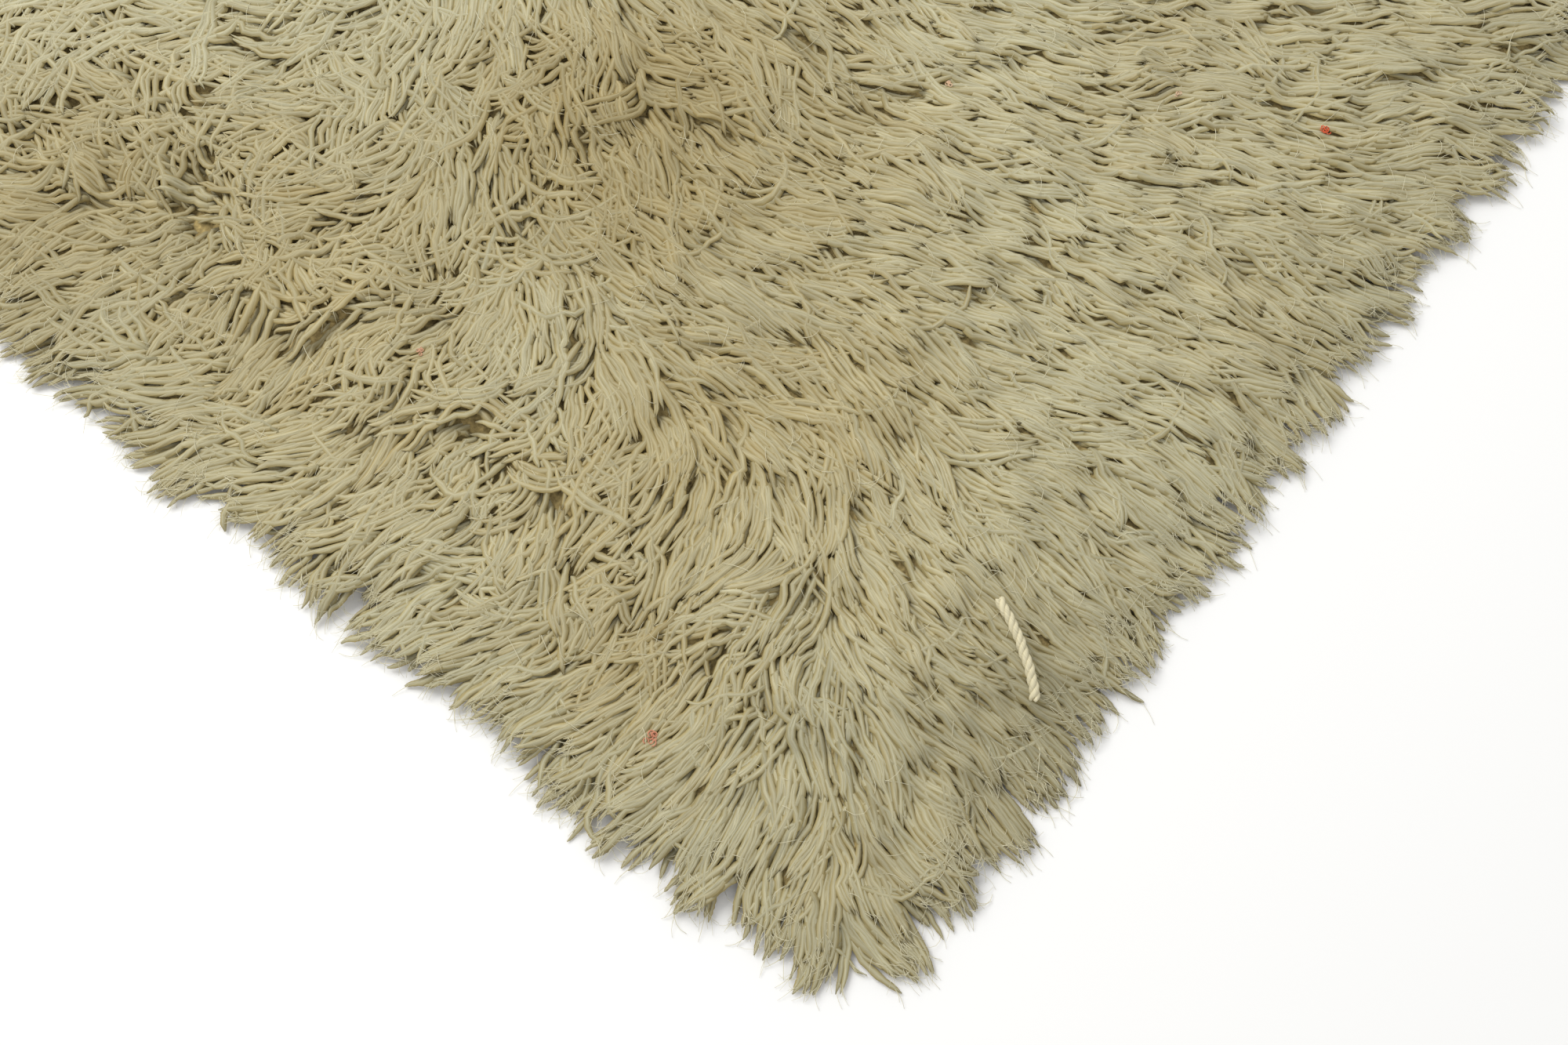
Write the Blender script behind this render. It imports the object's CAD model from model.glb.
"""Looks of the tulu rug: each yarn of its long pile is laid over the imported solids.

Sizes are metres in the rug's own frame: X runs along the weft, Y along the warp and +Z is up.
The photographed corner is the one at -X -Y.
"""
import math

import bpy
import numpy as np
from mathutils import Matrix, Vector
from mathutils.bvhtree import BVHTree
from mathutils.kdtree import KDTree


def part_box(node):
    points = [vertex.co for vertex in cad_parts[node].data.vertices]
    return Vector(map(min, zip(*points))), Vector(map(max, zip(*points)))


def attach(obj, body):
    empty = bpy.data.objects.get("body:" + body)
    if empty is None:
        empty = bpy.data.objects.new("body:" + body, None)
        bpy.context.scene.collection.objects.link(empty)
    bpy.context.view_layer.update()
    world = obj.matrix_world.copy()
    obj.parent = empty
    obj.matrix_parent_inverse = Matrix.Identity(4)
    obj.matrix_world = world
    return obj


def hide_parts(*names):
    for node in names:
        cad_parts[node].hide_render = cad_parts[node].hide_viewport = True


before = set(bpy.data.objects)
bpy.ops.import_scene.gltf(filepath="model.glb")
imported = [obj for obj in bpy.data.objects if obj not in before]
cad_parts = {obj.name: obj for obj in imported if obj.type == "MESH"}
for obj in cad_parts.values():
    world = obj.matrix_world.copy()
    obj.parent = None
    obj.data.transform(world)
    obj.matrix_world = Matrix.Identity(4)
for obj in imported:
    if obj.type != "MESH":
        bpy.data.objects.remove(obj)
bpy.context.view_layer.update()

SEED = 58

# Photograph and camera
PHOTO_WIDTH = 2000
PHOTO_HEIGHT = 1333
LENS_MM = 45.0
SENSOR_MM = 36.0
CAMERA_HEIGHT = 1.20
CAMERA_PITCH = math.radians(74.0)
CAMERA_HEADING = math.radians(37.8)
PILE_CORNER = (-0.525, -0.775)
CAMERA_FROM_CORNER = (-0.0424, 0.0291)
SEEN_MARGIN = 70

# Ground weave
EDGE_WAVER = 0.004
WAVER_PERIOD = 0.62
CORNER_RADIUS = 0.035
ROOT_INSET = 0.004

# Knots and yarns
SEEN_KNOT_PITCH = 0.0078
FAR_KNOT_PITCH = 0.0114
KNOT_JITTER = 0.30
YARN_LENGTH = 0.076
YARN_LENGTH_SPREAD = 0.010
YARN_RADIUS = 0.00192
FAR_YARN_RADIUS = 0.00235
YARN_RADIUS_SPREAD = 0.00022
YARN_WIDTH = 1.36
YARN_DEPTH = 0.80
YARN_SIDE_SHADE = (0.38, 0.47, 0.68)
STRAY_SHARE = 0.055
YARN_LENGTH_RANGE = (0.052, 0.100)
YARN_RADIUS_RANGE = (0.0013, 0.003)
RISE_BELOW_TOP = 0.008
RISE_RANGE = (0.008, 0.040)
STANDING_ADVANCE = 0.16
COMBED_ADVANCE = 0.97
YARN_TWIST = 0.18
CRIMP_SHARE = 0.4
SEEN_SIDES = 3
FAR_SIDES = 3
SEEN_RINGS = 13
FAR_RINGS = 5
TIP_TAPER = 0.24
TIP_RADIUS = 0.14
TRIANGLES_PER_PIECE = 190000
LOCK_PITCH = 0.020
LOCK_GATHER = 0.85
LOCK_TIP_SPREAD = 0.40
LOCK_LIFT = 0.0030
RIM_ROWS = 0.022
PATH_STEPS = 32

# Easing of crowded yarns into thin places
EASE_ROUNDS = 9
EASE_GAIN = 3.0e-6
EASE_LIMIT = 0.0007

# Height field that the yarns are laid on
CELL = 0.0024
FIELD_MARGIN = 0.12
PILE_GROWTH = 0.0165
LAY_SQUASH = 0.0016
LAY_SLOPE = 0.85
FLANK_PLACE = 0.62
CROWN_RISE = 0.70
FLANK_RISE = 0.35

# Holes in the pile's top that more yarns are laid across
HOLE_DEPTH = 0.0032
FAR_HOLE_DEPTH = 0.0052
HOLE_RIM_REACH = 0.012
HOLE_YARN_REACH = 0.016
HOLE_SPACING = 0.0050
HOLE_SAMPLES = 5
HOLE_ROUNDS = 2

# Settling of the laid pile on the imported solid
SETTLE_REACH = 0.012
SETTLE_CAP = 0.0505
SKIN_REACH = 0.005
SKIN_DEPTH = 0.006
SKIN_SQUASH = 0.34
TOUSLED_SKIN_SQUASH = 0.55

# Rim
RIM_REACH = 0.038
RIM_REACH_SPREAD = 0.005
SCALLOP_PITCH = 0.036
SCALLOP_DEPTH = 0.012

# How the pile lies in the photograph: a place in its pixels, and the way the yarns point there,
# root to tip, in degrees with 0 to the right and 90 up
LAY_GUIDES = (
    # photo x, photo y, heading
    (1900, 50, -12),
    (1800, 120, -4),
    (1700, 300, -15),
    (1500, 100, 0),
    (1500, 250, -10),
    (1400, 400, -15),
    (1600, 500, -22),
    (1300, 500, -15),
    (1100, 300, -10),
    (1200, 200, -15),
    (1100, 100, -30),
    (950, 100, -55),
    (1300, 600, -30),
    (1400, 700, -35),
    (1500, 650, -32),
    (1250, 750, -50),
    (1350, 800, -40),
    (1200, 900, -50),
    (1100, 1000, -70),
    (1050, 1150, -80),
    (1150, 1100, -60),
    (1000, 1000, -100),
    (900, 1050, -125),
    (850, 1000, -135),
    (750, 950, -130),
    (700, 850, -130),
    (600, 800, -140),
    (500, 750, -150),
    (450, 700, -155),
    (350, 600, -170),
    (300, 550, 180),
    (200, 450, 180),
    (100, 400, -175),
    (100, 250, 180),
    (100, 150, 175),
    (550, 700, -165),
    (720, 130, -95),
    (1000, 500, -40),
    (900, 400, -30),
    (800, 650, -110),
    (960, 815, -170),
)
GUIDE_CORE = 0.030
FREE_LAY_DISTANCE = 0.16
CENTRE_LAY = (-0.20, -0.18)
LAY_SWIRL = math.radians(26)
LAY_SWIRL_PITCH = 0.17
LAY_RIPPLE = math.radians(15)
LAY_RIPPLE_PITCH = 0.055

# Where the pile is tousled, with yarns that stand, curl and cross
TOUSLED_SPOTS = (
    # photo x, photo y, radius, strength
    (960, 830, 0.030, 0.7),
    (750, 710, 0.045, 0.8),
    (640, 570, 0.055, 0.9),
    (560, 430, 0.055, 0.8),
    (430, 340, 0.060, 1.0),
    (300, 230, 0.070, 1.0),
    (130, 120, 0.070, 0.8),
    (720, 120, 0.060, 0.8),
    (620, 260, 0.050, 0.7),
    (900, 120, 0.050, 0.5),
    (850, 620, 0.045, 0.5),
    (500, 90, 0.055, 0.9),
)
FAR_TOUSLED_SPOTS = (
    # x, y, radius, strength
    (0.300, -0.330, 0.080, 0.7),
    (0.250, 0.060, 0.090, 0.8),
    (-0.120, 0.300, 0.100, 0.8),
    (0.180, 0.480, 0.090, 0.7),
    (-0.300, 0.560, 0.080, 0.7),
    (-0.330, 0.120, 0.080, 0.8),
)

# Thin places where the ground weave shows between the yarns
BARE_SPOTS = (
    # photo x, photo y, radius
    (1178, 1188, 0.007),
)


def photo_axes():
    """The camera's right, up and forward directions."""
    ground = (math.cos(CAMERA_HEADING), math.sin(CAMERA_HEADING))
    dip = math.sin(CAMERA_PITCH)
    level = math.cos(CAMERA_PITCH)
    right = Vector((ground[1], -ground[0], 0.0))
    up = Vector((dip * ground[0], dip * ground[1], level))
    forward = Vector((level * ground[0], level * ground[1], -dip))
    return right, up, forward


def camera_place():
    return Vector((
        PILE_CORNER[0] + CAMERA_FROM_CORNER[0],
        PILE_CORNER[1] + CAMERA_FROM_CORNER[1],
        CAMERA_HEIGHT,
    ))


def on_rug(photo_x, photo_y, height=0.025):
    """The x and y where a pixel of the photograph meets the level at height."""
    focal = LENS_MM / SENSOR_MM * PHOTO_WIDTH
    right, up, forward = photo_axes()
    ray = forward + right * ((photo_x - PHOTO_WIDTH / 2) / focal)
    ray += up * ((PHOTO_HEIGHT / 2 - photo_y) / focal)
    place = camera_place()
    hit = place + ray * ((height - place.z) / ray.z)
    return hit.x, hit.y


def in_photo(x, y, height=0.025):
    """Which points fall in the photograph's frame, with a margin in pixels."""
    focal = LENS_MM / SENSOR_MM * PHOTO_WIDTH
    place = camera_place()
    offset = np.stack([x - place.x, y - place.y, np.full_like(x, height - place.z)], axis=-1)
    right, up, forward = (np.array(axis) for axis in photo_axes())
    depth = offset @ forward
    across = np.abs(offset @ right / depth) * focal
    upward = np.abs(offset @ up / depth) * focal
    inside = across < PHOTO_WIDTH / 2 + SEEN_MARGIN
    return inside & (upward < PHOTO_HEIGHT / 2 + SEEN_MARGIN)


def soft_noise(x, y, pitch, seed):
    """Smooth random values from -1 to 1, with lumps pitch metres apart."""
    size = 64
    lattice = np.random.default_rng(seed).uniform(-1.0, 1.0, (size, size))
    u = x / pitch + 17.3
    v = y / pitch + 31.7
    column = np.floor(u).astype(int)
    row = np.floor(v).astype(int)
    u = u - column
    v = v - row
    u = u * u * (3 - 2 * u)
    v = v * v * (3 - 2 * v)
    low = lattice[column % size, row % size] * (1 - u) + lattice[(column + 1) % size, row % size] * u
    row = row + 1
    high = lattice[column % size, row % size] * (1 - u) + lattice[(column + 1) % size, row % size] * u
    return low * (1 - v) + high * v


def smooth_step(value, low, high):
    share = np.clip((value - low) / (high - low), 0.0, 1.0)
    return share * share * (3 - 2 * share)


def smooth_along(values, rounds):
    """Even out values in place along their last axis, with its ends held."""
    for _ in range(rounds):
        values[..., 1:-1] = 0.25 * values[..., :-2] + 0.5 * values[..., 1:-1] + 0.25 * values[..., 2:]


def linear(red, green, blue):
    """A colour given in the photograph's 0 to 255 steps, as linear light."""
    steps = np.array([red, green, blue]) / 255.0
    return np.where(steps <= 0.04045, steps / 12.92, ((steps + 0.055) / 1.055) ** 2.4)


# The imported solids

WEAVE_LOW, WEAVE_HIGH = (Vector(corner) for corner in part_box("ground_weave"))
HALF_X = (WEAVE_HIGH.x - WEAVE_LOW.x) / 2 - EDGE_WAVER
HALF_Y = (WEAVE_HIGH.y - WEAVE_LOW.y) / 2 - EDGE_WAVER
WEAVE_TOP = WEAVE_HIGH.z
PILE_LOW, PILE_HIGH = (Vector(corner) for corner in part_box("pile"))


def outside_weave(x, y):
    """Distance outside the ground weave's rounded outline, negative inside it."""
    over_x = np.abs(x) - (HALF_X - CORNER_RADIUS)
    over_y = np.abs(y) - (HALF_Y - CORNER_RADIUS)
    apart = np.hypot(np.maximum(over_x, 0.0), np.maximum(over_y, 0.0))
    return apart + np.minimum(np.maximum(over_x, over_y), 0.0) - CORNER_RADIUS


def node_tree_of(name):
    """A node's solid as a search tree."""
    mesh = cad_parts[name].data
    points = [vertex.co.copy() for vertex in mesh.vertices]
    faces = [tuple(face.vertices) for face in mesh.polygons]
    return BVHTree.FromPolygons(points, faces)


class HeightField:
    """Heights over the floor on a square grid, as flat arrays."""

    def __init__(self):
        self.low_x = PILE_LOW.x - FIELD_MARGIN
        self.low_y = PILE_LOW.y - FIELD_MARGIN
        self.columns = int((PILE_HIGH.x - PILE_LOW.x + 2 * FIELD_MARGIN) / CELL) + 1
        self.rows = int((PILE_HIGH.y - PILE_LOW.y + 2 * FIELD_MARGIN) / CELL) + 1
        self.x = self.low_x + CELL * (np.arange(self.columns) + 0.5)
        self.y = self.low_y + CELL * (np.arange(self.rows) + 0.5)
        self.heights = np.zeros(self.columns * self.rows)

    def cells(self, x, y):
        column = np.clip(((x - self.low_x) / CELL).astype(int), 0, self.columns - 1)
        row = np.clip(((y - self.low_y) / CELL).astype(int), 0, self.rows - 1)
        return column * self.rows + row

    def blurred(self, reach):
        """The heights averaged over a square of reach metres each way."""
        field = self.heights.reshape(self.columns, self.rows)
        half = int(reach / CELL)
        for axis in (0, 1):
            padded = np.concatenate([
                np.repeat(field.take([0], axis=axis), half + 1, axis=axis),
                field,
                np.repeat(field.take([-1], axis=axis), half, axis=axis),
            ], axis=axis)
            total = np.cumsum(padded, axis=axis)
            size = field.shape[axis]
            upper = total.take(range(2 * half + 1, 2 * half + 1 + size), axis=axis)
            lower = total.take(range(0, size), axis=axis)
            field = (upper - lower) / (2 * half + 1)
        return field.ravel()


def solid_top_field():
    """The top of the pile's solid on the height field's grid, read on a coarser one."""
    field = HeightField()
    solid = node_tree_of("pile")
    coarse = 5
    down = Vector((0.0, 0.0, -1.0))
    grid = np.zeros((field.columns // coarse + 2, field.rows // coarse + 2))
    for column in range(grid.shape[0]):
        for row in range(grid.shape[1]):
            x = field.low_x + CELL * coarse * column
            y = field.low_y + CELL * coarse * row
            hit = solid.ray_cast(Vector((x, y, 1.0)), down)[0]
            grid[column, row] = hit.z if hit else 0.0
    u = (np.arange(field.columns) + 0.5) / coarse
    v = (np.arange(field.rows) + 0.5) / coarse
    column = u.astype(int)[:, None]
    row = v.astype(int)[None, :]
    u = u[:, None] - column
    v = v[None, :] - row
    low = grid[column, row] * (1 - u) + grid[column + 1, row] * u
    high = grid[column, row + 1] * (1 - u) + grid[column + 1, row + 1] * u
    field.heights = (low * (1 - v) + high * v).ravel()
    return field


# The lay of the pile

def lay_guides():
    """The guides as places on the rug and unit directions along it."""
    to_rug = CAMERA_HEADING - math.pi / 2
    places = []
    directions = []
    for photo_x, photo_y, heading in LAY_GUIDES:
        turn = math.radians(heading) + to_rug
        places.append(on_rug(photo_x, photo_y))
        directions.append((math.cos(turn), math.sin(turn)))
    return np.array(places), np.array(directions)


GUIDE_PLACES, GUIDE_DIRECTIONS = lay_guides()


def lay_heading(x, y):
    """The way the combed pile points at each place, as an angle."""
    away_x = np.sign(x) * np.exp(-(HALF_X - np.abs(x)) / FREE_LAY_DISTANCE) + CENTRE_LAY[0]
    away_y = np.sign(y) * np.exp(-(HALF_Y - np.abs(y)) / FREE_LAY_DISTANCE) + CENTRE_LAY[1]
    size = np.hypot(away_x, away_y) + 1e-6
    weight = 1.0 / FREE_LAY_DISTANCE**3
    flow_x = weight * away_x / size
    flow_y = weight * away_y / size
    for place, direction in zip(GUIDE_PLACES, GUIDE_DIRECTIONS):
        apart = (x - place[0]) ** 2 + (y - place[1]) ** 2
        pull = 1.0 / (apart + GUIDE_CORE**2) ** 1.5
        flow_x = flow_x + pull * direction[0]
        flow_y = flow_y + pull * direction[1]
    heading = np.arctan2(flow_y, flow_x)
    photo_hold = np.where(in_photo(x, y), 0.35, 1.0)
    heading += LAY_SWIRL * photo_hold * soft_noise(x, y, LAY_SWIRL_PITCH, SEED + 1) * 1.6
    heading += LAY_RIPPLE * soft_noise(x, y, LAY_RIPPLE_PITCH, SEED + 2)
    return heading


def tousled(x, y):
    """How tousled the pile is, from 0, combed, to 1."""
    amount = np.zeros_like(x)
    spots = [(*on_rug(photo_x, photo_y), radius, strength)
             for photo_x, photo_y, radius, strength in TOUSLED_SPOTS]
    for spot_x, spot_y, radius, strength in spots + list(FAR_TOUSLED_SPOTS):
        apart = (x - spot_x) ** 2 + (y - spot_y) ** 2
        amount = np.maximum(amount, strength * np.exp(-apart / radius**2))
    return np.clip(amount + 0.10 * soft_noise(x, y, 0.04, SEED + 3), 0.0, 1.0)


def knot_grid(pitch, rng):
    """Knots in rows over the ground weave, each a little out of place."""
    columns = int(2 * (HALF_X - ROOT_INSET) / pitch)
    rows = int(2 * (HALF_Y - ROOT_INSET) / pitch)
    x = (np.arange(columns) + 0.5 - columns / 2) * pitch
    y = (np.arange(rows) + 0.5 - rows / 2) * pitch
    x, y = (axis.ravel() for axis in np.meshgrid(x, y, indexing="ij"))
    x = x + rng.uniform(-KNOT_JITTER, KNOT_JITTER, x.size) * pitch
    y = y + rng.uniform(-KNOT_JITTER, KNOT_JITTER, y.size) * pitch
    inside = outside_weave(x, y) < -ROOT_INSET
    return x[inside], y[inside]


def ease_apart(path):
    """Move yarns sideways, out of crowded strips of the pile and into thin ones."""
    field = HeightField()
    share = np.linspace(0, 1, path.shape[1])
    free = smooth_step(share, 0.05, 0.40)
    for _ in range(EASE_ROUNDS):
        cells = field.cells(path[..., 0], path[..., 1])
        field.heights = np.bincount(cells.ravel(), minlength=field.heights.size).astype(float)
        field.heights = field.blurred(0.0025)
        crowd = field.blurred(0.0025)
        field.heights = crowd
        usual = np.maximum(field.blurred(0.020), 0.3)
        grid = crowd.reshape(field.columns, field.rows)
        slope_x = (np.gradient(grid, axis=0).ravel() / CELL / usual)[cells]
        slope_y = (np.gradient(grid, axis=1).ravel() / CELL / usual)[cells]
        ahead = np.gradient(path, axis=1)
        ahead /= np.linalg.norm(ahead, axis=2, keepdims=True) + 1e-9
        push = slope_x * -ahead[..., 1] + slope_y * ahead[..., 0]
        shift = np.clip(-EASE_GAIN * push, -EASE_LIMIT, EASE_LIMIT)
        smooth_along(shift, 4)
        shift = shift * free
        path[..., 0] += -ahead[..., 1] * shift
        path[..., 1] += ahead[..., 0] * shift


def trace(x, y, length, rise, heading_offset, curl, wiggle, wiggle_pitch, wiggle_phase, advance):
    """Plan positions along each yarn from its root, PATH_STEPS + 1 of them."""
    step = length / PATH_STEPS
    heading = lay_heading(x, y)
    path = np.empty((x.size, PATH_STEPS + 1, 2))
    path[:, 0, 0] = x
    path[:, 0, 1] = y
    for index in range(PATH_STEPS):
        run = step * (index + 0.5)
        if index % 4 == 0:
            heading = lay_heading(x, y)
        turn = heading + heading_offset + curl * run
        turn = turn + wiggle * np.cos(math.tau * run / wiggle_pitch + wiggle_phase)
        crimp = math.tau * run / (0.47 * wiggle_pitch) + 2.3 * wiggle_phase
        turn = turn + CRIMP_SHARE * wiggle * np.cos(crimp)
        share = smooth_step(run, 0.35 * rise, 1.25 * rise)
        level = STANDING_ADVANCE + (advance - STANDING_ADVANCE) * share
        x = x + step * level * np.cos(turn)
        y = y + step * level * np.sin(turn)
        path[:, index + 1, 0] = x
        path[:, index + 1, 1] = y
    return path


def nearest_lock(x, y, rng):
    """Each yarn's lock: its number, and the locks' middles on a jittered grid."""
    columns = int(2 * HALF_X / LOCK_PITCH) + 3
    rows = int(2 * HALF_Y / LOCK_PITCH) + 3
    grid_x, grid_y = np.meshgrid(np.arange(columns), np.arange(rows), indexing="ij")
    middle_x = (grid_x - (columns - 1) / 2 + rng.uniform(-0.38, 0.38, grid_x.shape)) * LOCK_PITCH
    middle_y = (grid_y - (rows - 1) / 2 + rng.uniform(-0.38, 0.38, grid_x.shape)) * LOCK_PITCH
    column = np.round(x / LOCK_PITCH + (columns - 1) / 2).astype(int)
    row = np.round(y / LOCK_PITCH + (rows - 1) / 2).astype(int)
    best = np.full(x.size, np.inf)
    lock = np.zeros(x.size, dtype=int)
    for shift_x in (-1, 0, 1):
        for shift_y in (-1, 0, 1):
            near_column = np.clip(column + shift_x, 0, columns - 1)
            near_row = np.clip(row + shift_y, 0, rows - 1)
            apart = np.hypot(x - middle_x[near_column, near_row], y - middle_y[near_column, near_row])
            closer = apart < best
            best = np.where(closer, apart, best)
            lock = np.where(closer, near_column * rows + near_row, lock)
    return lock, middle_x.ravel(), middle_y.ravel()


def cut_at_rim(path, rng):
    """Shorten each yarn that would reach past the rim's scalloped outline; returns shares kept."""
    x = path[:, :, 0]
    y = path[:, :, 1]
    edge_x = np.clip(x, -HALF_X, HALF_X)
    edge_y = np.clip(y, -HALF_Y, HALF_Y)
    reach = RIM_REACH + SCALLOP_DEPTH * soft_noise(edge_x, edge_y, SCALLOP_PITCH, SEED + 5)
    reach = reach + rng.normal(0.0, RIM_REACH_SPREAD, (x.shape[0], 1))
    beyond = outside_weave(x, y) > reach
    first = np.where(beyond.any(axis=1), beyond.argmax(axis=1), PATH_STEPS)
    return np.maximum(first / PATH_STEPS, 0.25)


def resample(path, shares):
    """Read each path at its own shares of its length; shares has a row for each yarn."""
    place = shares * (path.shape[1] - 1)
    low = np.minimum(place.astype(int), path.shape[1] - 2)
    part = (place - low)[..., None]
    rows = np.arange(path.shape[0])[:, None]
    return path[rows, low] * (1 - part) + path[rows, low + 1] * part


class Yarns:
    """Every yarn of the pile: where it is rooted, how it runs and how thick it is."""

    def __init__(self, solid_top):
        rng = np.random.default_rng(SEED)
        seen_x, seen_y = knot_grid(SEEN_KNOT_PITCH, rng)
        rim_x, rim_y = knot_grid(SEEN_KNOT_PITCH, rng)
        at_rim = outside_weave(rim_x, rim_y) > -RIM_ROWS
        seen_x = np.concatenate([seen_x, rim_x[at_rim]])
        seen_y = np.concatenate([seen_y, rim_y[at_rim]])
        keep = in_photo(seen_x, seen_y)
        far_x, far_y = knot_grid(FAR_KNOT_PITCH, rng)
        far = ~in_photo(far_x, far_y)
        self.x = np.concatenate([seen_x[keep], far_x[far]])
        self.y = np.concatenate([seen_y[keep], far_y[far]])
        self.seen = np.concatenate([np.ones(keep.sum(), bool), np.zeros(far.sum(), bool)])
        count = self.x.size
        tousle = tousled(self.x, self.y)
        top = solid_top.heights[solid_top.cells(self.x, self.y)]
        self.length = YARN_LENGTH + rng.normal(0.0, YARN_LENGTH_SPREAD, count)
        self.length = np.clip(self.length, *YARN_LENGTH_RANGE) * (1 - 0.12 * tousle)
        radius = np.where(self.seen, YARN_RADIUS, FAR_YARN_RADIUS)
        radius = radius + rng.normal(0.0, YARN_RADIUS_SPREAD, count)
        self.radius = np.clip(radius, *YARN_RADIUS_RANGE)
        self.stray = rng.uniform(size=count) < STRAY_SHARE
        rise = np.clip(top - RISE_BELOW_TOP, *RISE_RANGE) * rng.uniform(0.8, 1.15, count)

        lock, lock_x, lock_y = nearest_lock(self.x, self.y, rng)
        lock_tousle = tousled(lock_x, lock_y)
        lock_turn = rng.normal(0.0, 1.0, lock_x.size)
        lock_turn = lock_turn * (math.radians(9) + math.radians(48) * lock_tousle)
        lock_curl = rng.normal(0.0, 1.0, lock_x.size) * (3.0 + 14.0 * lock_tousle)
        own_turn = rng.normal(0.0, 1.0, count)
        own_turn = own_turn * (math.radians(4) + math.radians(24) * tousle)
        own_turn = np.where(self.stray, rng.normal(0.0, math.radians(26), count), own_turn)
        own_curl = rng.normal(0.0, 1.0, count) * (3.0 + 14.0 * tousle)
        own_curl = np.where(self.stray, rng.normal(0.0, 12.0, count), own_curl)
        wiggle = rng.uniform(0.10, 0.50, count) * (1 + 0.6 * tousle)
        wiggle_pitch = rng.uniform(0.019, 0.038, count)
        wiggle_phase = rng.uniform(0.0, math.tau, count)
        advance = COMBED_ADVANCE - 0.30 * tousle * rng.uniform(0.0, 1.0, count)

        path = trace(self.x, self.y, self.length, rise, lock_turn[lock] + own_turn,
                     lock_curl[lock] + own_curl, wiggle, wiggle_pitch, wiggle_phase, advance)
        lock_size = np.full(lock_x.size, YARN_LENGTH)
        lock_top = solid_top.heights[solid_top.cells(lock_x, lock_y)]
        still = np.zeros(lock_x.size)
        lock_rise = np.clip(lock_top - RISE_BELOW_TOP, *RISE_RANGE)
        lock_path = trace(lock_x, lock_y, lock_size, lock_rise, lock_turn, lock_curl,
                          still, still + 0.03, still, still + COMBED_ADVANCE)
        gather = LOCK_GATHER * (1 - 0.6 * tousle) * ~self.stray
        gather = gather[:, None] * smooth_step(np.linspace(0, 1, PATH_STEPS + 1), 0.15, 0.95)[None, :]
        spread_x = (self.x - lock_x[lock]) * LOCK_TIP_SPREAD
        spread_y = (self.y - lock_y[lock]) * LOCK_TIP_SPREAD
        target = lock_path[lock] + np.stack([spread_x, spread_y], axis=-1)[:, None, :]
        path += (target - path) * gather[..., None]
        ease_apart(path)

        kept = cut_at_rim(path, rng)
        shares = np.linspace(0, 1, PATH_STEPS + 1)[None, :] * kept[:, None]
        self.path = resample(path, shares)
        self.length = self.length * kept
        self.rise = np.minimum(rise, 0.45 * self.length)
        self.tousle = tousle
        self.shade = rng.normal(0.0, 1.0, count)
        self.warmth = rng.normal(0.0, 1.0, count)
        self.lift = rng.uniform(0.0, 1.0, count) ** 2 * (0.0018 + 0.009 * tousle)
        self.lift += LOCK_LIFT * rng.uniform(0.0, 1.0, lock_x.size)[lock] ** 2
        self.tip = rng.uniform(0.6, 1.5, count)
        self.start = np.zeros(count)
        depth_in = -outside_weave(self.x, self.y)
        self.order = depth_in + rng.normal(0.0, 0.010, lock_x.size)[lock] + rng.normal(0.0, 0.006, count)
        self.order = np.where(self.stray, self.order + 0.030, self.order)
        self.drop_over_bare_spots(rng)

    def take(self, keep):
        for name, value in list(vars(self).items()):
            setattr(self, name, value[keep])

    def add(self, others):
        for name, value in list(vars(self).items()):
            setattr(self, name, np.concatenate([value, getattr(others, name)]))

    def drop_over_bare_spots(self, rng):
        keep = np.ones(self.x.size, bool)
        for photo_x, photo_y, radius in BARE_SPOTS:
            spot_x, spot_y = on_rug(photo_x, photo_y, WEAVE_TOP)
            apart = np.hypot(self.path[:, :, 0] - spot_x, self.path[:, :, 1] - spot_y).min(axis=1)
            keep &= ~((apart < radius) & (rng.uniform(size=keep.size) < 0.96))
        self.take(keep)


def bare_field(solid_top):
    """The height field before any yarn is laid."""
    field = HeightField()
    inside = solid_top.heights > 0.0
    weave = outside_weave(field.x[:, None], field.y[None, :]).ravel() < 0
    start = np.maximum(solid_top.blurred(0.012) - PILE_GROWTH, WEAVE_TOP)
    field.heights = np.where(inside & weave, start, 0.0)
    return field


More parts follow.
